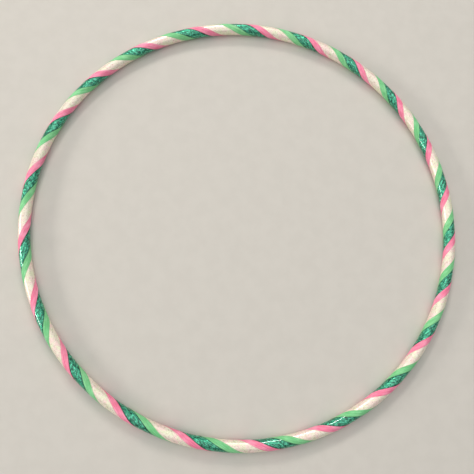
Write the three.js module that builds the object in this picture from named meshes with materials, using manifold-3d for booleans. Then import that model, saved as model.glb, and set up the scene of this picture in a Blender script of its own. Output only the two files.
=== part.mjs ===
// Rhythmic gymnastics hoop: a plastic pipe bent into a ring, joined by an inner sleeve with
// two blind rivets, and wrapped all round in four spiral tapes.
//
// Millimetres, +Z up. The hoop lies flat: the origin is the ring's centre, on the surface
// that the hoop lies on. Ring angles are clockwise from +Y, seen from above.
import * as THREE from 'three';
import Module from 'manifold-3d';
import { mergeVertices } from 'three/addons/utils/BufferGeometryUtils.js';

// ---- Driving dimensions -------------------------------------------------------------------

const hoopOuterDiameter = 914.4;      // 36 inch hoop, over the tapes
const tapedTubeDiameter = 24.5;       // 3/4 inch bore pipe plus the tapes
const clothTapeThickness = 0.25;      // pink and green tapes, the ones that stand proud
const filmTapeThickness = 0.18;       // cream and teal tapes
const tapeToTubeGap = 0.35;           // keeps the flat facets of tape and pipe apart
const tubeWall = 1.2;
const sleeveToTubeGap = 0.35;
const sleeveWall = 2.2;
const sleeveLength = 100;
const tubeEndGap = 0.5;               // between the two cut ends of the pipe
const jointAngle = THREE.MathUtils.degToRad(188);

const clothTapeWidth = 12.3;
const tapeSideGap = 0.35;
const tapeEndGap = 0.35;
const windingTurns = 22;              // turns of each tape round the pipe in one lap of the ring
const greenLag = 187;                 // degrees of a turn from the pink tape's middle to the green's
const windingStart = 77;              // degrees of a turn at ring angle 0

// The tapes were wound by hand, so the spiral runs ahead of an even one and behind it:
// degrees of a turn, for each number of waves round the ring.
const windingDrift = [
  { waves: 1, cosine: -100, sine: 70 },
  { waves: 2, cosine: 8, sine: -36 },
  { waves: 3, cosine: 12, sine: 0 },
  { waves: 5, cosine: -8, sine: -8 },
];

const rivetOffset = 25;               // from the joint to each rivet, along the ring
const rivetShankRadius = 2;
const rivetHeadRadius = 3.3;
const rivetHeadDepth = 0.7;
const rivetBulgeRadius = 2.9;
const rivetBulgeLength = 2.4;
const rivetBulgeShoulder = 0.5;       // length of the bulge's slope up from the shank
const rivetTailRadius = 2.2;
const mandrelRadius = 0.9;
const mandrelHeadRadius = 1.5;        // the ball that spread the rivet's tail
const mandrelHeadRim = 0.3;
const mandrelRecess = 0.4;            // the snapped stem ends this far below the rivet's head
const fitGap = 0.3;                   // between rivet, hole and mandrel

const sectionSides = 12;              // flat facets round the pipe and the tapes
const ringSteps = 110;                // straight steps along the pipe
const sleeveSteps = 6;
const filmColumns = 2;                // facets across a film tape; a cloth tape has one
const roundSides = 16;                // facets round a rivet

// ---- Sizes that follow --------------------------------------------------------------------

const outerFlat = tapedTubeDiameter / 2;
const ringRadius = hoopOuterDiameter / 2 - outerFlat;
const sectionHeight = outerFlat;
const tapeInnerFlat = outerFlat - clothTapeThickness;
const tubeOuterFlat = tapeInnerFlat - tapeToTubeGap;
const tubeInnerFlat = tubeOuterFlat - tubeWall;
const sleeveOuterFlat = tubeInnerFlat - sleeveToTubeGap;
const sleeveInnerFlat = sleeveOuterFlat - sleeveWall;

const fullTurn = 360;
const cornerStep = fullTurn / sectionSides;
const undersideTurn = 270;            // degrees round the pipe from the outside of the ring
const bottomCorner = Math.round((undersideTurn - cornerStep / 2) / cornerStep - 0.5);

// ---- Materials ----------------------------------------------------------------------------

function material(color, roughness, metalness = 0) {
  return new THREE.MeshStandardMaterial({ color, roughness, metalness });
}

const pinkCloth = material('#eb7891', 0.75);
const greenCloth = material('#6fc67c', 0.75);
const creamFilm = material('#eedccd', 0.45);
const tealGlitter = material('#2f7f68', 0.25, 0.5);
const blackPipe = material('#1d1e20', 0.5);
const naturalPipe = material('#c9ccc8', 0.5);
const rivetAluminium = material('#b9bcc0', 0.35, 1);
const mandrelSteel = material('#7f8387', 0.35, 1);

// ---- The pipe and its sleeve --------------------------------------------------------------

// A regular polygon whose flat sides are `flat` away from the middle.
function polygonPoints(flat, sides) {
  const cornerRadius = flat / Math.cos(Math.PI / sides);
  return Array.from({ length: sides }, (_, side) => {
    const angle = (side + 0.5) * 2 * Math.PI / sides;
    return new THREE.Vector2(cornerRadius * Math.cos(angle), cornerRadius * Math.sin(angle));
  });
}

// The middle line of a stretch of the ring.
class RingArc extends THREE.Curve {
  constructor(middleAngle, halfSpan) {
    super();
    this.middleAngle = middleAngle;
    this.halfSpan = halfSpan;
  }

  ringAngleAt(t) {
    return this.middleAngle + (2 * t - 1) * this.halfSpan;
  }

  getPoint(t, target = new THREE.Vector3()) {
    const angle = this.ringAngleAt(t);
    return target.set(ringRadius * Math.sin(angle), ringRadius * Math.cos(angle), sectionHeight);
  }

  getTangent(t, target = new THREE.Vector3()) {
    const angle = this.ringAngleAt(t);
    return target.set(Math.cos(angle), -Math.sin(angle), 0);
  }
}

// A hollow pipe bent along a stretch of the ring, open at both ends.
function bentPipe(middleAngle, halfSpan, steps, outer, inner) {
  const section = new THREE.Shape(polygonPoints(outer, sectionSides));
  section.holes.push(new THREE.Path(polygonPoints(inner, sectionSides)));
  const extrudePath = new RingArc(middleAngle, halfSpan);
  return new THREE.ExtrudeGeometry(section, { steps, extrudePath });
}

// ---- The spiral tapes ---------------------------------------------------------------------

// How far the spiral has turned at a ring angle, in degrees of a turn.
function windingPhase(angle) {
  let phase = windingStart + windingTurns * THREE.MathUtils.radToDeg(angle);
  for (const { waves, cosine, sine } of windingDrift) {
    phase += cosine * Math.cos(waves * angle) + sine * Math.sin(waves * angle);
  }
  return phase;
}

// Degrees of a turn for each radian of the ring.
function windingRate(angle) {
  let rate = windingTurns * THREE.MathUtils.radToDeg(1);
  for (const { waves, cosine, sine } of windingDrift) {
    rate += waves * (sine * Math.cos(waves * angle) - cosine * Math.sin(waves * angle));
  }
  return rate;
}

// The ring angle where the spiral has turned by `phase`: Newton's method.
function ringAngleOf(phase) {
  let angle = THREE.MathUtils.degToRad(phase / windingTurns);
  for (let round = 0; round < 8; round += 1) {
    angle -= (windingPhase(angle) - phase) / windingRate(angle);
  }
  return angle;
}

// A width across the tape, as degrees of a turn along the ring.
function widthAsPhase(width, angle) {
  const pitch = fullTurn / windingRate(angle) * ringRadius;
  const girth = Math.PI * tapedTubeDiameter;
  return width * Math.hypot(girth, pitch) / girth * fullTurn / pitch;
}

// The side edges of each tape, in degrees of a turn from the pink tape's middle.
const halfCloth = (angle) => widthAsPhase(clothTapeWidth, angle) / 2;
const halfFilmGap = (angle) => halfCloth(angle) + widthAsPhase(tapeSideGap, angle);
const tapeEdges = {
  pink: (angle) => [-halfCloth(angle), halfCloth(angle)],
  cream: (angle) => [halfFilmGap(angle), greenLag - halfFilmGap(angle)],
  green: (angle) => [greenLag - halfCloth(angle), greenLag + halfCloth(angle)],
  teal: (angle) => [greenLag + halfFilmGap(angle), fullTurn - halfFilmGap(angle)],
};

// A point on the faceted taped surface. Corners are counted round the pipe from the outside of
// the ring, up over the top; a fraction lies on the facet between two corners.
function tapePoint(flat, corner, angle) {
  const cornerRadius = flat / Math.cos(Math.PI / sectionSides);
  const below = Math.floor(corner);
  const [from, to] = [below, below + 1].map((index) => {
    const turn = THREE.MathUtils.degToRad((index + 0.5) * cornerStep);
    return new THREE.Vector2(ringRadius + cornerRadius * Math.cos(turn), cornerRadius * Math.sin(turn));
  });
  const onFacet = from.lerp(to, corner - below);
  return new THREE.Vector3(
    onFacet.x * Math.sin(angle), onFacet.x * Math.cos(angle), sectionHeight + onFacet.y,
  );
}

// A closed body through a row of loops, each with the same number of points, with flat ends
// made of strips between each loop's first half and its second half.
function loftedBody(loops) {
  const size = loops[0].length;
  const points = loops.flat();
  const index = [];
  const addQuad = (a, b, c, d) => {
    if (points[a].distanceTo(points[c]) < points[b].distanceTo(points[d])) {
      index.push(a, b, c, a, c, d);
    } else {
      index.push(a, b, d, b, c, d);
    }
  };
  for (let row = 0; row < loops.length - 1; row += 1) {
    for (let side = 0; side < size; side += 1) {
      const next = (side + 1) % size;
      const here = row * size;
      addQuad(here + side, here + next, here + size + next, here + size + side);
    }
  }
  const last = (loops.length - 1) * size;
  for (let side = 0; side < size / 2 - 1; side += 1) {
    const across = size - 1 - side;
    addQuad(across, across - 1, side + 1, side);
    addQuad(last + side, last + side + 1, last + across - 1, last + across);
  }
  const geometry = new THREE.BufferGeometry().setFromPoints(points);
  geometry.setIndex(index);
  geometry.computeVertexNormals();
  return geometry;
}

// One tape: it starts at the pipe's underside just past the joint, goes once round the ring in
// windingTurns turns, and stops a small gap before its own start.
function spiralTape(edges, thickness, columns) {
  const bottomPhase = (bottomCorner + 0.5) * cornerStep;
  const firstTurn = Math.ceil((windingPhase(jointAngle) - bottomPhase) / fullTurn);
  const firstCorner = bottomCorner + firstTurn * sectionSides;
  const lastCorner = firstCorner + windingTurns * sectionSides;
  const facetWidth = 2 * tapeInnerFlat * Math.tan(Math.PI / sectionSides);
  const loops = [];
  for (let corner = firstCorner; corner <= lastCorner; corner += 1) {
    const rowCorner = corner === lastCorner ? corner - tapeEndGap / facetWidth : corner;
    const phase = (rowCorner + 0.5) * cornerStep;
    const [low, high] = edges(ringAngleOf(phase));
    const inner = [];
    const outer = [];
    for (let column = 0; column <= columns; column += 1) {
      const angle = ringAngleOf(phase + THREE.MathUtils.lerp(low, high, column / columns));
      inner.push(tapePoint(tapeInnerFlat, rowCorner, angle));
      outer.unshift(tapePoint(tapeInnerFlat + thickness, rowCorner, angle));
    }
    loops.push([...inner, ...outer]);
  }
  return loftedBody(loops);
}

// ---- The blind rivets ---------------------------------------------------------------------

// Profiles are [radius, distance from the pipe's middle line]; a rivet points to the middle line
// with its formed end, and its flush head faces the centre of the ring.
const rivetHeadTop = tubeOuterFlat;
const rivetShankEnd = sleeveInnerFlat - fitGap;
const rivetTail = rivetShankEnd - rivetBulgeLength;

function lathe(profile) {
  const points = profile.map(([radius, height]) => new THREE.Vector2(radius, height));
  return new THREE.LatheGeometry(points, roundSides);
}

function rivetBody() {
  const bore = mandrelRadius + fitGap;
  return lathe([
    [bore, rivetTail],
    [rivetTailRadius, rivetTail],
    [rivetBulgeRadius, rivetTail + rivetBulgeLength / 3],
    [rivetBulgeRadius, rivetShankEnd - rivetBulgeShoulder],
    [rivetShankRadius, rivetShankEnd],
    [rivetShankRadius, rivetHeadTop - rivetHeadDepth],
    [rivetHeadRadius, rivetHeadTop],
    [bore, rivetHeadTop],
    [bore, rivetTail],
  ]);
}

function rivetMandrel() {
  const headBase = rivetTail - fitGap;
  const slope = mandrelHeadRadius * 0.8;
  const stemEnd = rivetHeadTop - mandrelRecess;
  return lathe([
    [0, headBase - mandrelHeadRadius],
    [slope, headBase - slope],
    [mandrelHeadRadius, headBase - mandrelHeadRim],
    [mandrelHeadRadius, headBase],
    [mandrelRadius, headBase],
    [mandrelRadius, stemEnd],
    [0, stemEnd],
  ]);
}

// The hole for a rivet, countersunk for its head, through the pipe and the sleeve.
function rivetHole() {
  const hole = rivetShankRadius + fitGap;
  const sink = rivetHeadRadius + fitGap;
  const inside = rivetShankEnd - 1;
  const outside = rivetHeadTop + 2;
  return lathe([
    [0, inside],
    [hole, inside],
    [hole, rivetHeadTop - rivetHeadDepth - fitGap],
    [sink, rivetHeadTop],
    [sink, outside],
    [0, outside],
  ]);
}

const rivetAngles = [-1, 1].map((side) => jointAngle + side * rivetOffset / ringRadius);

// Puts a lathed piece on the inner side of the ring, with its axis towards the ring's centre.
function placeOnInnerSide(object, angle) {
  object.rotation.z = Math.PI - angle;
  object.position.set(ringRadius * Math.sin(angle), ringRadius * Math.cos(angle), sectionHeight);
  object.updateMatrix();
  return object;
}

// ---- Cutting ------------------------------------------------------------------------------

const wasm = await Module();
wasm.setup();

function toSolid(geometry) {
  const plain = geometry.clone();
  plain.deleteAttribute('normal');
  plain.deleteAttribute('uv');
  const merged = mergeVertices(plain, 1e-4);
  return new wasm.Manifold(new wasm.Mesh({
    numProp: 3,
    vertProperties: new Float32Array(merged.attributes.position.array),
    triVerts: new Uint32Array(merged.index.array),
  }));
}

function toGeometry(solid) {
  const { vertProperties, triVerts } = solid.getMesh();
  const geometry = new THREE.BufferGeometry();
  geometry.setAttribute('position', new THREE.BufferAttribute(vertProperties, 3));
  geometry.setIndex(new THREE.BufferAttribute(triVerts, 1));
  geometry.computeVertexNormals();
  return geometry;
}

function drillForRivets(pipeGeometry) {
  let solid = toSolid(pipeGeometry);
  for (const angle of rivetAngles) {
    const cutter = placeOnInnerSide(new THREE.Mesh(rivetHole()), angle);
    solid = solid.subtract(toSolid(cutter.geometry.applyMatrix4(cutter.matrix)));
  }
  return toGeometry(solid);
}

// ---- The hoop -----------------------------------------------------------------------------

const hoop = new THREE.Group();
hoop.name = 'hoop';

function addPiece(name, geometry, pieceMaterial) {
  const piece = new THREE.Mesh(geometry, pieceMaterial);
  piece.name = name;
  hoop.add(piece);
  return piece;
}

const tubeHalfSpan = Math.PI - tubeEndGap / 2 / ringRadius;
const tube = bentPipe(jointAngle + Math.PI, tubeHalfSpan, ringSteps, tubeOuterFlat, tubeInnerFlat);
addPiece('hoop_tube', drillForRivets(tube), blackPipe);

const sleeveHalfSpan = sleeveLength / 2 / ringRadius;
const sleeve = bentPipe(jointAngle, sleeveHalfSpan, sleeveSteps, sleeveOuterFlat, sleeveInnerFlat);
addPiece('joint_sleeve', drillForRivets(sleeve), naturalPipe);

rivetAngles.forEach((angle, order) => {
  const side = ['right', 'left'][order];
  placeOnInnerSide(addPiece(`${side}_rivet`, rivetBody(), rivetAluminium), angle);
  placeOnInnerSide(addPiece(`${side}_rivet_mandrel`, rivetMandrel(), mandrelSteel), angle);
});

addPiece('pink_tape', spiralTape(tapeEdges.pink, clothTapeThickness, 1), pinkCloth);
addPiece('cream_tape', spiralTape(tapeEdges.cream, filmTapeThickness, filmColumns), creamFilm);
addPiece('green_tape', spiralTape(tapeEdges.green, clothTapeThickness, 1), greenCloth);
addPiece('teal_tape', spiralTape(tapeEdges.teal, filmTapeThickness, filmColumns), tealGlitter);

export default hoop;
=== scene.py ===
"""The look of a taped rhythmic hoop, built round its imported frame.

Metres, +Z up, the ring's centre above the origin, and the hoop lying flat at z = 0. Ring angles
are clockwise from +Y, seen from above, and turns round the pipe start at the outside of the
ring and go up over the top.
"""
import math

import bpy
import numpy as np
from mathutils import Matrix, Vector


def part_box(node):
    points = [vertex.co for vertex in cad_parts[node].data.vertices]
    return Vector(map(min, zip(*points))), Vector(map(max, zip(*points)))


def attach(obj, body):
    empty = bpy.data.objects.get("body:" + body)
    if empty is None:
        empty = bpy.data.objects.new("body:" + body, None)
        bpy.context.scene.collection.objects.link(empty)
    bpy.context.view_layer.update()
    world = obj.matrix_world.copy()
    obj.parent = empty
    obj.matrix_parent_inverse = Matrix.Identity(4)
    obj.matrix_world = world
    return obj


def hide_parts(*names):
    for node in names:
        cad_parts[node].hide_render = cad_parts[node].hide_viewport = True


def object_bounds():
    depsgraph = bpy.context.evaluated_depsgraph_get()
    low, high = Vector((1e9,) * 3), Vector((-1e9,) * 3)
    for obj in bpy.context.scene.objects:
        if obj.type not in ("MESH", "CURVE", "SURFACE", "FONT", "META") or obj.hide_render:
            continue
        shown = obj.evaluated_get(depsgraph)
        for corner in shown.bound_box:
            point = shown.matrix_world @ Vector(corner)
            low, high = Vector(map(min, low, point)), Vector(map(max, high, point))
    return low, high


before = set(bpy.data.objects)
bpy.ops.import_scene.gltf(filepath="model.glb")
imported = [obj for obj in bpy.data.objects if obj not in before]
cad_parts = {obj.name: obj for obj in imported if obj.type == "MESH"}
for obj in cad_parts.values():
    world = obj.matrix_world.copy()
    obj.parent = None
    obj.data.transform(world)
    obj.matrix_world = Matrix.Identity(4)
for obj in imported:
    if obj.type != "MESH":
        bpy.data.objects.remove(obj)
cad_low, cad_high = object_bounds()
rng = np.random.default_rng(seed=22)

MM = 0.001
FULL_TURN = 360.0
FULL_CIRCLE = 2 * math.pi

# ---- Sizes taken from the frame -----------------------------------------------------------

TAPED_RADIUS = (cad_high.z - cad_low.z) / 2
RING_RADIUS = (cad_high.x - cad_low.x) / 2 - TAPED_RADIUS
SECTION_HEIGHT = (cad_high.z + cad_low.z) / 2
GIRTH = FULL_CIRCLE * TAPED_RADIUS

# ---- How the tapes are wound --------------------------------------------------------------

WINDING_TURNS = 22
WINDING_START = 77.0                  # degrees of a turn at ring angle 0
GREEN_LAG = 187.0                     # degrees of a turn from the pink tape's middle to the green's

# The tapes were wound by hand, so the spiral runs ahead of an even one and behind it: for each
# number of waves round the ring, the cosine and sine parts in degrees of a turn.
WINDING_DRIFT = (
    (1, -100.0, 70.0),
    (2, 8.0, -36.0),
    (3, 12.0, 0.0),
    (5, -8.0, -8.0),
)

JOINT_ANGLE = math.radians(188)
TAPE_START_TURN = 200.0               # degrees round the pipe: low on the ring's inner side
TAPE_END_LAP = 33.0                   # degrees of a turn that a tape runs on over its own start
TAPE_END_RISE = 4.0                   # degrees of a turn in which its end climbs on to the start

CLOTH_WIDTH = 12.3 * MM
CLOTH_THICKNESS = 0.25 * MM
FILM_WIDTH = 25.4 * MM
FILM_THICKNESS = 0.12 * MM
LAYER_GAP = 0.01 * MM                 # between one layer and the next
CREAM_LAP = 1.75 * MM                 # of the cream film under each cloth tape
TEAL_LAP = 3.05 * MM                  # of the teal film under each cloth tape
LAP_STEP = 0.8 * MM                   # width of the slope where cloth climbs on to a film

PIPE_RADIUS = TAPED_RADIUS - CLOTH_THICKNESS - FILM_THICKNESS - 3 * LAYER_GAP

CLOTH_EDGE = 0.35 * MM                # width of a cloth tape's rounded edge
CLOTH_EDGE_DROP = 0.3                 # share of the thickness that is gone at the very edge
THREAD_PITCH_ALONG = 0.9 * MM
THREAD_PITCH_ACROSS = 0.7 * MM

FILM_WRINKLE = 0.10 * MM              # height of the wrinkles on the ring's inner side
FILM_WRINKLE_LENGTHS = (5.5 * MM, 12 * MM)
CLOTH_CREASE = 0.05 * MM
CLOTH_CREASE_LENGTHS = (4 * MM, 9 * MM)

FILM_SWAY = 0.15 * MM                 # about how far a tape wanders from its course
FILM_SWAY_LENGTHS = (80 * MM, 600 * MM)
CLOTH_SWAY = 0.18 * MM
CLOTH_SWAY_LENGTHS = (60 * MM, 500 * MM)

RIVET_HEAD_RADIUS = 3.3 * MM
RIVET_RISE = 0.3 * MM                 # how far a tape stands up over a rivet's head
RIVET_SLOPE = 2.2 * MM                # width of the slope round the head

PIPE_END_GAP = 0.5 * MM               # between the pipe's two cut ends
SLEEVE_CLEARANCE = 0.25 * MM          # between the joint sleeve and the pipe's bore

# ---- How finely the meshes are divided ----------------------------------------------------

NEWTON_STEPS = 8
ROWS_A_TURN = 72
FILM_COLUMNS = np.linspace(-1, 1, 27)
CLOTH_HALF_COLUMNS = (0.17, 0.33, 0.42, 0.5, 0.57, 0.65, 0.73, 0.83, 0.93, 0.985, 1.0)
CLOTH_COLUMNS = np.array([-c for c in reversed(CLOTH_HALF_COLUMNS)] + [0.0] + list(CLOTH_HALF_COLUMNS))
UNDERSIDE_COLUMNS = np.linspace(-1, 1, 7)
PIPE_ROWS = 241
PIPE_SIDES = 48


def winding_phase(angle):
    """How far the spiral has turned at a ring angle, in degrees of a turn."""
    phase = WINDING_START + WINDING_TURNS * np.degrees(angle)
    for waves, cosine, sine in WINDING_DRIFT:
        phase = phase + cosine * np.cos(waves * angle) + sine * np.sin(waves * angle)
    return phase


def winding_rate(angle):
    """Degrees of a turn for each radian of the ring."""
    rate = WINDING_TURNS * math.degrees(1)
    for waves, cosine, sine in WINDING_DRIFT:
        rate = rate + waves * (sine * np.cos(waves * angle) - cosine * np.sin(waves * angle))
    return rate


def ring_angle_of(phase):
    """The ring angle where the spiral has turned by `phase`: Newton's method."""
    angle = np.radians(phase / WINDING_TURNS)
    for _ in range(NEWTON_STEPS):
        angle = angle - (winding_phase(angle) - phase) / winding_rate(angle)
    return angle


def rivet_bump(angle, turn):
    """How far a tape is lifted by the heads of the two rivets, on the ring's inner side."""
    inner_radius = RING_RADIUS - TAPED_RADIUS
    bump = 0
    for node in ("left_rivet", "right_rivet"):
        middle = sum(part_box(node), Vector()) / 2
        rivet_angle = math.atan2(middle.x, middle.y) % FULL_CIRCLE
        around = (angle - rivet_angle + math.pi) % FULL_CIRCLE - math.pi
        away = np.hypot(around * inner_radius, TAPED_RADIUS * np.sin(turn))
        lift = 1 - smooth_step(RIVET_HEAD_RADIUS, RIVET_HEAD_RADIUS + RIVET_SLOPE, away)
        bump = bump + RIVET_RISE * lift * (np.cos(turn) < 0)
    return bump


def torus_point(angle, turn, radius):
    """Points on the taped pipe: ring angle and turn in radians, radius of the section."""
    reach = RING_RADIUS + radius * np.cos(turn)
    height = SECTION_HEIGHT + radius * np.sin(turn)
    return np.stack([reach * np.sin(angle), reach * np.cos(angle), height], axis=-1)


def smooth_step(low, high, value):
    """Rises from 0 at `low` to 1 at `high`, level at both ends."""
    t = np.clip((value - low) / (high - low), 0, 1)
    return t * t * (3 - 2 * t)


def wander(length, amplitude, shortest, longest, count=9):
    """A smooth random function of the distance along a tape, as sines of random phase."""
    waves = np.exp(rng.uniform(math.log(shortest), math.log(longest), count))
    phases = rng.uniform(0, FULL_CIRCLE, count)
    total = sum(np.sin(FULL_CIRCLE * length / w + p) for w, p in zip(waves, phases))
    return amplitude * total / math.sqrt(count / 2)


def wrinkles(along, across, turn, shortest, longest, count=6):
    """Small irregular ridges, 0 to 1, where a tape is squeezed on the ring's inner side."""
    total = 0
    for _ in range(count):
        length = rng.uniform(shortest, longest)
        skew = rng.uniform(0.3, 0.95)
        phase = rng.uniform(0, FULL_CIRCLE)
        total = total + np.sin(FULL_CIRCLE * (along + skew * across) / length + phase)
    inwards = -np.cos(turn)
    squeeze = smooth_step(0.6, 1.0, inwards)
    return squeeze * np.clip(total / (count / 2), 0, 1)


# ---- Mesh helpers -------------------------------------------------------------------------

def mesh_piece(name, points, faces, uvs=None, sharp_degrees=35):
    """A mesh object in the frame's space, shaded smooth but for its sharp edges."""
    mesh = bpy.data.meshes.new(name)
    mesh.from_pydata(points, [], faces)
    if uvs is not None:
        layer = mesh.uv_layers.new(name="tape")
        loops = np.empty(len(mesh.loops), np.int32)
        mesh.loops.foreach_get("vertex_index", loops)
        layer.data.foreach_set("uv", np.asarray(uvs, np.float32)[loops].ravel())
    mesh.shade_smooth()
    mesh.set_sharp_from_angle(angle=math.radians(sharp_degrees))
    mesh.validate()
    piece = bpy.data.objects.new(name, mesh)
    bpy.context.scene.collection.objects.link(piece)
    return piece


def lofted_faces(rows, size):
    """Quads of a closed body through `rows` loops of `size` points, with an n-gon at each end."""
    row = np.arange(rows - 1)[:, None] * size
    side = np.arange(size)[None, :]
    after = (side + 1) % size
    quads = np.stack([row + side, row + after, row + size + after, row + size + side], axis=-1)
    faces = quads.reshape(-1, 4).tolist()
    faces.append(list(range(size))[::-1])
    faces.append([(rows - 1) * size + i for i in range(size)])
    return faces


# ---- The tapes ----------------------------------------------------------------------------

def tape_piece(name, middle_phase, width, columns, thickness, heights, sway):
    """One spiral tape as a closed thin solid, square cut, whose end laps over its start.

    columns: places across the tape, from -1 to 1, that carry its top surface.
    heights(across, along, turn) gives the section radius of its underside and of its top.
    """
    first_turn = math.ceil((winding_phase(JOINT_ANGLE) - TAPE_START_TURN) / FULL_TURN)
    start = first_turn * FULL_TURN + TAPE_START_TURN
    lap_start = start + WINDING_TURNS * FULL_TURN
    row_count = WINDING_TURNS * ROWS_A_TURN + 1
    turned = np.linspace(start, lap_start + TAPE_END_LAP, row_count)[:, None]

    middle_angle = ring_angle_of(turned + middle_phase)
    pitch = FULL_TURN / winding_rate(middle_angle) * RING_RADIUS
    slant = np.hypot(GIRTH, pitch)
    row_step = slant / GIRTH * TAPED_RADIUS * math.radians(turned[1, 0] - turned[0, 0])
    along = np.cumsum(row_step, axis=0)

    loop_columns = np.concatenate([columns[::-1], UNDERSIDE_COLUMNS])
    across = loop_columns[None, :] * width / 2 + sway(along)
    angle = middle_angle + across * (GIRTH / slant) / RING_RADIUS
    turn = np.radians(turned) - across * (pitch / slant) / TAPED_RADIUS

    underside, top = heights(loop_columns[None, :] * width / 2, along, turn)
    is_top = np.arange(len(loop_columns))[None, :] < len(columns)
    lap = smooth_step(lap_start - TAPE_END_RISE, lap_start, turned) * (thickness + LAYER_GAP)
    radius = np.where(is_top, top, underside) + lap + rivet_bump(angle, turn)
    points = torus_point(angle, turn, radius).reshape(-1, 3)
    uvs = np.stack([along + 0 * across, across], axis=-1).reshape(-1, 2)
    return mesh_piece(name, points.tolist(), lofted_faces(row_count, len(loop_columns)), uvs)


def cloth_heights(cream_side):
    """A cloth tape steps up where it laps over a film tape on each side."""
    half = CLOTH_WIDTH / 2
    rise = FILM_THICKNESS + LAYER_GAP

    def climb(towards, lap):
        return smooth_step(half - lap - LAP_STEP, half - lap, towards)

    def heights(across, along, turn):
        towards_cream = across * cream_side
        lift = rise * np.maximum(climb(towards_cream, CREAM_LAP), climb(-towards_cream, TEAL_LAP))
        underside = PIPE_RADIUS + LAYER_GAP + lift
        rounded = CLOTH_EDGE_DROP * smooth_step(half - CLOTH_EDGE, half, np.abs(across))
        crease = CLOTH_CREASE * wrinkles(along, across, turn, *CLOTH_CREASE_LENGTHS)
        return underside + 0 * along, underside + CLOTH_THICKNESS * (1 - rounded) + crease

    return heights


def film_heights(lap):
    """A film tape lies flat, and wrinkles a little between the cloth tapes on the inner side."""
    open_half = FILM_WIDTH / 2 - lap
    calm_from = open_half - 0.5 * MM
    fading_from = open_half - 2.5 * MM

    def heights(across, along, turn):
        underside = PIPE_RADIUS + LAYER_GAP + 0 * along * across
        shown = 1 - smooth_step(fading_from, calm_from, np.abs(across))
        wrinkle = FILM_WRINKLE * shown * wrinkles(along, across, turn, *FILM_WRINKLE_LENGTHS)
        return underside, underside + FILM_THICKNESS + wrinkle

    return heights


def build_cloth_tape(name, middle_phase, cream_side):
    """A narrow cloth tape; cream_side is 1 or -1, for the side of it where the cream film lies."""
    def sway(along):
        return wander(along, CLOTH_SWAY, *CLOTH_SWAY_LENGTHS)

    heights = cloth_heights(cream_side)
    return tape_piece(name, middle_phase, CLOTH_WIDTH, CLOTH_COLUMNS, CLOTH_THICKNESS, heights, sway)


def build_film_tape(name, middle_phase, lap):
    """A wide film tape, both of whose edges lie `lap` deep under the cloth tapes beside it."""
    def sway(along):
        return wander(along, FILM_SWAY, *FILM_SWAY_LENGTHS)

    heights = film_heights(lap)
    return tape_piece(name, middle_phase, FILM_WIDTH, FILM_COLUMNS, FILM_THICKNESS, heights, sway)


# ---- The pipe -----------------------------------------------------------------------------

def build_pipe():
    """The smooth hollow pipe, with its two cut ends at the joint."""
    sleeve_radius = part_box("joint_sleeve")[1].z - SECTION_HEIGHT
    bore = sleeve_radius + SLEEVE_CLEARANCE
    half_gap = PIPE_END_GAP / 2 / RING_RADIUS
    angle = np.linspace(JOINT_ANGLE + half_gap, JOINT_ANGLE + FULL_CIRCLE - half_gap, PIPE_ROWS)[:, None]
    turn = np.linspace(0, FULL_CIRCLE, PIPE_SIDES, endpoint=False)[None, :]
    skins = [torus_point(angle + 0 * turn, turn + 0 * angle, radius) for radius in (PIPE_RADIUS, bore)]
    points = np.concatenate([skin.reshape(-1, 3) for skin in skins])

    outer = np.arange(PIPE_ROWS * PIPE_SIDES).reshape(PIPE_ROWS, PIPE_SIDES)
    inner = outer + outer.size
    outer_after = np.roll(outer, -1, axis=1)
    inner_after = np.roll(inner, -1, axis=1)
    outside = np.stack([outer[:-1], outer_after[:-1], outer_after[1:], outer[1:]], axis=-1)
    inside = np.stack([inner[:-1], inner[1:], inner_after[1:], inner_after[:-1]], axis=-1)
    first_end = np.stack([outer[0], inner[0], inner_after[0], outer_after[0]], axis=-1)
    last_end = np.stack([outer[-1], outer_after[-1], inner_after[-1], inner[-1]], axis=-1)
    quads = [group.reshape(-1, 4) for group in (outside, inside, first_end, last_end)]
    return mesh_piece("bent_pipe", points.tolist(), np.concatenate(quads).tolist())


# ---- Materials ----------------------------------------------------------------------------

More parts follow.
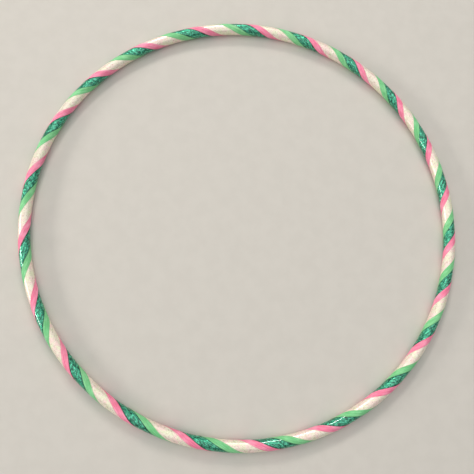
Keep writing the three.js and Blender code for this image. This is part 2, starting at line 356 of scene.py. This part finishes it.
class Shader:
    """A Principled material with short calls for the nodes in front of it."""

    def __init__(self, name, roughness, metallic=0.0):
        self.material = bpy.data.materials.new(name)
        self.material.use_nodes = True
        self.tree = self.material.node_tree
        self.tree.nodes.clear()
        output = self.tree.nodes.new("ShaderNodeOutputMaterial")
        self.surface = self.tree.nodes.new("ShaderNodeBsdfPrincipled")
        self.link(self.surface.outputs[0], output.inputs[0])
        self.surface.inputs["Roughness"].default_value = roughness
        self.surface.inputs["Metallic"].default_value = metallic

    def link(self, source, target):
        self.tree.links.new(source, target)

    def set(self, **values):
        for name, value in values.items():
            self.surface.inputs[name.replace("_", " ")].default_value = value

    def feed(self, socket, target):
        if isinstance(socket, (int, float, tuple)):
            target.default_value = socket
        else:
            self.link(socket, target)

    def place(self):
        return self.tree.nodes.new("ShaderNodeTexCoord").outputs["Object"]

    def tape_place(self):
        node = self.tree.nodes.new("ShaderNodeUVMap")
        node.uv_map = "tape"
        return node.outputs[0]

    def split(self, vector):
        node = self.tree.nodes.new("ShaderNodeSeparateXYZ")
        self.link(vector, node.inputs[0])
        return node.outputs[0], node.outputs[1], node.outputs[2]

    def scaled(self, vector, x, y, z=1.0):
        node = self.tree.nodes.new("ShaderNodeVectorMath")
        node.operation = "MULTIPLY"
        self.link(vector, node.inputs[0])
        node.inputs[1].default_value = (x, y, z)
        return node.outputs[0]

    def noise(self, vector, scale, detail=3.0, roughness=0.55):
        node = self.tree.nodes.new("ShaderNodeTexNoise")
        self.link(vector, node.inputs["Vector"])
        node.inputs["Scale"].default_value = scale
        node.inputs["Detail"].default_value = detail
        node.inputs["Roughness"].default_value = roughness
        return node.outputs["Fac"]

    def cells(self, vector, scale):
        """A random colour for each small cell."""
        node = self.tree.nodes.new("ShaderNodeTexVoronoi")
        self.link(vector, node.inputs["Vector"])
        node.inputs["Scale"].default_value = scale
        return node.outputs["Color"]

    def math(self, operation, a, b=0.0):
        node = self.tree.nodes.new("ShaderNodeMath")
        node.operation = operation
        self.feed(a, node.inputs[0])
        self.feed(b, node.inputs[1])
        return node.outputs[0]

    def spread(self, value, low, high, to_low=0.0, to_high=1.0):
        node = self.tree.nodes.new("ShaderNodeMapRange")
        node.interpolation_type = "SMOOTHSTEP"
        for target, given in zip(node.inputs, (value, low, high, to_low, to_high)):
            self.feed(given, target)
        return node.outputs[0]

    def mix(self, share, a, b):
        node = self.tree.nodes.new("ShaderNodeMix")
        node.data_type = "RGBA"
        self.feed(share, node.inputs[0])
        self.feed(a, node.inputs[6])
        self.feed(b, node.inputs[7])
        return node.outputs[2]

    def bump(self, height, strength, distance, after=None):
        node = self.tree.nodes.new("ShaderNodeBump")
        node.inputs["Strength"].default_value = strength
        node.inputs["Distance"].default_value = distance
        self.feed(height, node.inputs["Height"])
        if after is not None:
            self.link(after, node.inputs["Normal"])
        return node.outputs[0]

    def tilted_normal(self, tilt, amount):
        """The surface's normal, turned a different way by each cell of a random colour."""
        centred = self.tree.nodes.new("ShaderNodeVectorMath")
        centred.operation = "SUBTRACT"
        self.link(tilt, centred.inputs[0])
        centred.inputs[1].default_value = (0.5, 0.5, 0.5)
        shift = self.scaled(centred.outputs[0], amount, amount, amount)
        total = self.tree.nodes.new("ShaderNodeVectorMath")
        total.operation = "ADD"
        self.link(self.tree.nodes.new("ShaderNodeNewGeometry").outputs["Normal"], total.inputs[0])
        self.link(shift, total.inputs[1])
        unit = self.tree.nodes.new("ShaderNodeVectorMath")
        unit.operation = "NORMALIZE"
        self.link(total.outputs[0], unit.inputs[0])
        return unit.outputs[0]

    def color(self, socket):
        self.feed(socket, self.surface.inputs["Base Color"])

    def roughness(self, socket):
        self.feed(socket, self.surface.inputs["Roughness"])

    def normal(self, socket):
        self.link(socket, self.surface.inputs["Normal"])


def srgb(red, green, blue):
    """A linear colour from 0 to 255 display values."""
    def linear(value):
        value /= 255
        return value / 12.92 if value <= 0.04045 else ((value + 0.055) / 1.055) ** 2.4
    return (linear(red), linear(green), linear(blue), 1.0)


def cloth_material(name, main, deep, pale):
    """Matt woven cloth tape: fine threads, streaks along it, and a little dirt with painted shade at its
    cut edges.
    """
    m = Shader(name, 0.8)
    tape = m.tape_place()
    along, across, _ = m.split(tape)
    patches = m.spread(m.noise(m.place(), 60.0, 4.0), 0.35, 0.7)
    streaks = m.spread(m.noise(m.scaled(tape, 45.0, 800.0), 1.0, 3.0), 0.35, 0.7)
    fuzz = m.noise(m.scaled(tape, 700.0, 1400.0), 1.0, 2.0)
    color = m.mix(m.math("MULTIPLY", patches, 0.9), main, pale)
    color = m.mix(m.math("MULTIPLY", streaks, 0.7), color, deep)
    # Painted shade with a little dirt: the cut edges darkened towards the deep colour where the tapes meet.
    half = CLOTH_WIDTH / 2
    edge = m.spread(m.math("ABSOLUTE", across), half - 0.6 * MM, half)
    color = m.mix(m.math("MULTIPLY", edge, 0.4), color, deep)
    m.color(color)
    threads_along = m.math("SINE", m.math("MULTIPLY", along, FULL_CIRCLE / THREAD_PITCH_ALONG))
    threads_across = m.math("SINE", m.math("MULTIPLY", across, FULL_CIRCLE / THREAD_PITCH_ACROSS))
    weave = m.math("MULTIPLY", threads_along, threads_across)
    m.roughness(m.spread(patches, 0.0, 1.0, 0.7, 0.84))
    m.normal(m.bump(weave, 0.5, 0.05 * MM, m.bump(fuzz, 0.3, 0.04 * MM)))
    m.set(Sheen_Weight=0.12, Sheen_Roughness=0.5)
    return m.material


def cream_material():
    """Pearly film: a soft gloss with faint pink, yellow and green drifts and fine pearl specks."""
    m = Shader("cream_pearl_film", 0.4, 0.25)
    tape = m.tape_place()
    _, across, _ = m.split(tape)
    streaks = m.noise(m.scaled(tape, 60.0, 500.0), 1.0, 3.0)
    mottle = m.noise(m.scaled(tape, 210.0, 330.0), 1.0, 3.0, 0.65)
    pink_drift = m.noise(m.place(), 58.0, 2.0)
    green_drift = m.noise(m.scaled(m.place(), 1.0, 1.3, 0.8), 83.0, 2.0)
    speck = m.cells(tape, 1100.0)
    speck_light, _, _ = m.split(speck)
    cream = srgb(236, 226, 204)
    rose = srgb(242, 208, 200)
    lime = srgb(223, 231, 188)
    mottle_tan = srgb(200, 181, 160)
    streak_tan = srgb(214, 196, 178)
    pearl = srgb(255, 251, 238)
    grime_and_seam_shade = srgb(190, 168, 150)
    color = m.mix(m.spread(pink_drift, 0.42, 0.6, 0.0, 0.85), cream, rose)
    color = m.mix(m.spread(green_drift, 0.5, 0.64, 0.0, 0.7), color, lime)
    color = m.mix(m.spread(mottle, 0.48, 0.68, 0.0, 0.95), color, mottle_tan)
    color = m.mix(m.spread(streaks, 0.5, 0.75, 0.0, 0.3), color, streak_tan)
    color = m.mix(m.spread(speck_light, 0.8, 1.0, 0.0, 0.6), color, pearl)
    # Painted shade with some dirt: the film darkened along its seams beside the cloth tapes.
    visible_half = FILM_WIDTH / 2 - CREAM_LAP
    edge = m.spread(m.math("ABSOLUTE", across), visible_half - 1.4 * MM, visible_half)
    color = m.mix(m.math("MULTIPLY", edge, 0.35), color, grime_and_seam_shade)
    m.color(color)
    m.roughness(m.spread(mottle, 0.3, 0.7, 0.26, 0.44))
    m.normal(m.bump(mottle, 0.3, 0.08 * MM, m.bump(streaks, 0.2, 0.05 * MM)))
    m.set(Coat_Weight=0.15, Coat_Roughness=0.16)
    return m.material


def teal_material():
    """Metallic glitter film: small flakes at many angles under a clear gloss, with painted shade darkening
    its edges.
    """
    m = Shader("teal_glitter_film", 0.36, 0.75)
    tape = m.tape_place()
    _, across, _ = m.split(tape)
    flake = m.cells(tape, 1300.0)
    flake_light, flake_dark, _ = m.split(flake)
    clusters = m.noise(m.scaled(tape, 150.0, 320.0), 1.0, 3.0, 0.65)
    drift = m.noise(m.place(), 90.0, 3.0)
    deep_teal = srgb(10, 117, 88)
    clear_teal = srgb(32, 154, 117)
    bright_cluster = srgb(96, 216, 172)
    dark_cluster = srgb(2, 50, 40)
    bright_flake = srgb(122, 222, 176)
    dark_flake_and_edge_shade = srgb(4, 48, 38)
    color = m.mix(m.spread(drift, 0.35, 0.7), deep_teal, clear_teal)
    color = m.mix(m.spread(clusters, 0.5, 0.6, 0.0, 0.9), color, bright_cluster)
    color = m.mix(m.spread(clusters, 0.38, 0.48, 0.95, 0.0), color, dark_cluster)
    color = m.mix(m.spread(flake_light, 0.75, 1.0, 0.0, 0.6), color, bright_flake)
    color = m.mix(m.spread(flake_dark, 0.0, 0.3, 0.5, 0.0), color, dark_flake_and_edge_shade)
    # Painted shade: the film darkened along its edges beside the cloth tapes.
    visible_half = FILM_WIDTH / 2 - TEAL_LAP
    edge = m.spread(m.math("ABSOLUTE", across), visible_half - 2.6 * MM, visible_half)
    color = m.mix(m.math("MULTIPLY", edge, 0.85), color, dark_flake_and_edge_shade)
    m.color(color)
    m.roughness(m.spread(flake_dark, 0.0, 1.0, 0.26, 0.46))
    m.normal(m.tilted_normal(flake, 0.5))
    waves = m.noise(m.scaled(tape, 90.0, 160.0), 1.0, 2.0)
    m.link(m.bump(waves, 0.12, 0.1 * MM), m.surface.inputs["Coat Normal"])
    m.set(Coat_Weight=1.0, Coat_Roughness=0.04, Coat_IOR=1.45)
    return m.material


def pipe_material(name, color, scratch_color, roughness):
    """Extruded plastic pipe with light scuffs."""
    m = Shader(name, roughness)
    scuffs = m.noise(m.place(), 160.0, 5.0)
    m.color(m.mix(m.spread(scuffs, 0.5, 0.75, 0.0, 0.5), color, scratch_color))
    m.roughness(m.spread(scuffs, 0.3, 0.7, roughness - 0.08, roughness + 0.15))
    m.normal(m.bump(scuffs, 0.15, 0.05 * MM))
    return m.material


def metal_material(name, color, roughness):
    """Plain rivet metal with fine turning marks."""
    m = Shader(name, roughness, 1.0)
    marks = m.noise(m.scaled(m.place(), 1.0, 1.0, 6.0), 900.0, 3.0)
    red, green, blue, alpha = color
    worn = (red * 0.72, green * 0.72, blue * 0.72, alpha)
    m.color(m.mix(m.spread(marks, 0.35, 0.7), color, worn))
    m.roughness(m.spread(marks, 0.3, 0.7, roughness - 0.06, roughness + 0.12))
    m.normal(m.bump(marks, 0.2, 0.03 * MM))
    return m.material


# ---- Stage, lights and camera -------------------------------------------------------------

def floor_material():
    """A plain pale floor, with the faintest grain."""
    m = Shader("pale_floor", 0.9)
    grain = m.noise(m.place(), 30.0, 3.0)
    m.color(m.mix(m.spread(grain, 0.3, 0.7), srgb(196, 190, 180), srgb(199, 193, 183)))
    return m.material


def build_stage():
    """The floor, wide enough that its edge stays far off in low views."""
    mesh = bpy.data.meshes.new("floor")
    half = 16.0
    corners = [(-half, -half, 0), (half, -half, 0), (half, half, 0), (-half, half, 0)]
    mesh.from_pydata(corners, [], [(0, 1, 2, 3)])
    floor = bpy.data.objects.new("floor", mesh)
    bpy.context.scene.collection.objects.link(floor)
    floor.data.materials.append(floor_material())


def area_light(name, azimuth, elevation, distance, width, height, power, color=(1, 1, 1)):
    """A light panel aimed at the hoop's centre; azimuth is clockwise from +Y, both in degrees."""
    data = bpy.data.lights.new(name, "AREA")
    data.shape = "RECTANGLE"
    data.size = width
    data.size_y = height
    data.energy = power
    data.color = color
    light = bpy.data.objects.new(name, data)
    reach = distance * math.cos(math.radians(elevation))
    rise = distance * math.sin(math.radians(elevation))
    turn = math.radians(azimuth)
    light.location = Vector((reach * math.sin(turn), reach * math.cos(turn), rise))
    light.rotation_mode = "QUATERNION"
    light.rotation_quaternion = (-light.location).to_track_quat("-Z", "Y")
    bpy.context.scene.collection.objects.link(light)


def build_sky():
    """Even light from all round, dimmer near the horizon, as from a room's walls and ceiling."""
    world = bpy.data.worlds.new("studio")
    bpy.context.scene.world = world
    world.use_nodes = True
    tree = world.node_tree
    sky = tree.nodes["Background"]
    sky.inputs["Color"].default_value = (0.93, 0.96, 1.0, 1)
    direction = tree.nodes.new("ShaderNodeTexCoord").outputs["Generated"]
    parts = tree.nodes.new("ShaderNodeSeparateXYZ")
    tree.links.new(direction, parts.inputs[0])
    fade = tree.nodes.new("ShaderNodeMapRange")
    fade.interpolation_type = "SMOOTHSTEP"
    horizon = 0.0
    high_up = 0.8
    horizon_strength = 0.26
    overhead_strength = 0.5
    limits = (horizon, high_up, horizon_strength, overhead_strength)
    for socket, value in zip(list(fade.inputs)[1:5], limits):
        socket.default_value = value
    tree.links.new(parts.outputs["Z"], fade.inputs["Value"])
    tree.links.new(fade.outputs["Result"], sky.inputs["Strength"])


def build_lights():
    """The sky, narrow window panels towards +Y and -X, and a wide soft panel overhead."""
    build_sky()
    daylight = (1.0, 0.98, 0.95)
    away = 6.0
    tall = 1.0
    area_light("first_top_window", 346.5, 38, away, 0.6, tall, 72, daylight)
    area_light("second_top_window", 0, 34, away, 0.6, tall, 68, daylight)
    for order, azimuth in enumerate((254, 270, 277), start=1):
        area_light(f"left_window_{order}", azimuth, 20, away, 0.68, tall, 56, daylight)
    area_light("ceiling", azimuth=0, elevation=86, distance=2.6, width=4.4, height=4.4, power=43)


def build_camera():
    """A hand-held view from nearly overhead, a little towards -Y and -X of the hoop's centre."""
    data = bpy.data.cameras.new("view")
    data.sensor_width = 36.0
    data.lens = 41.8
    camera = bpy.data.objects.new("view", data)
    centre = Vector((0, 0, SECTION_HEIGHT))
    place = Vector((-0.0985, -0.2592, 1.1190)) + centre
    aim = Vector((-0.0122, -0.0320, 0.0)) + centre
    ahead = (aim - place).normalized()
    right = ahead.cross(Vector((0, 1, 0))).normalized()
    up = right.cross(ahead)
    camera.matrix_world = Matrix.Translation(place) @ Matrix((right, up, -ahead)).transposed().to_4x4()
    bpy.context.scene.collection.objects.link(camera)
    bpy.context.scene.camera = camera


# ---- Putting it together ------------------------------------------------------------------

def dress(piece, material, node):
    """Gives a piece its material and its place in the frame, instead of a CAD node."""
    piece.data.materials.append(material)
    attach(piece, "root")
    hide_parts(node)


def build_hoop():
    """The pipe and the four tapes; each film tape lies midway between the two cloth tapes."""
    pink = cloth_material("pink_cloth_weave", srgb(242, 134, 162), srgb(216, 72, 112), srgb(252, 174, 194))
    green = cloth_material("green_cloth_weave", srgb(120, 200, 134), srgb(74, 166, 94), srgb(152, 216, 158))
    cream_phase = GREEN_LAG / 2
    teal_phase = (GREEN_LAG + FULL_TURN) / 2
    pink_tape = build_cloth_tape("pink_cloth_tape", 0.0, 1)
    green_tape = build_cloth_tape("green_cloth_tape", GREEN_LAG, -1)
    cream_tape = build_film_tape("cream_film_tape", cream_phase, CREAM_LAP)
    teal_tape = build_film_tape("teal_film_tape", teal_phase, TEAL_LAP)
    dress(pink_tape, pink, "pink_tape")
    dress(green_tape, green, "green_tape")
    dress(cream_tape, cream_material(), "cream_tape")
    dress(teal_tape, teal_material(), "teal_tape")
    black = pipe_material("black_pipe_plastic", srgb(32, 33, 35), srgb(62, 63, 66), 0.42)
    dress(build_pipe(), black, "hoop_tube")


def dress_frame_nodes():
    """Materials for the CAD nodes that are kept as they are."""
    natural = pipe_material("sleeve_pipe_plastic", srgb(205, 207, 202), srgb(180, 182, 178), 0.4)
    aluminium = metal_material("rivet_metal", srgb(205, 207, 210), 0.34)
    steel = metal_material("mandrel_metal", srgb(150, 152, 156), 0.3)
    looks = {"joint_sleeve": natural, "left_rivet": aluminium, "right_rivet": aluminium,
             "left_rivet_mandrel": steel, "right_rivet_mandrel": steel}
    for node, material in looks.items():
        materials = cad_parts[node].data.materials
        materials.clear()
        materials.append(material)


build_camera()
build_lights()
build_stage()
build_hoop()
dress_frame_nodes()
bpy.context.scene.view_settings.view_transform = "Standard"
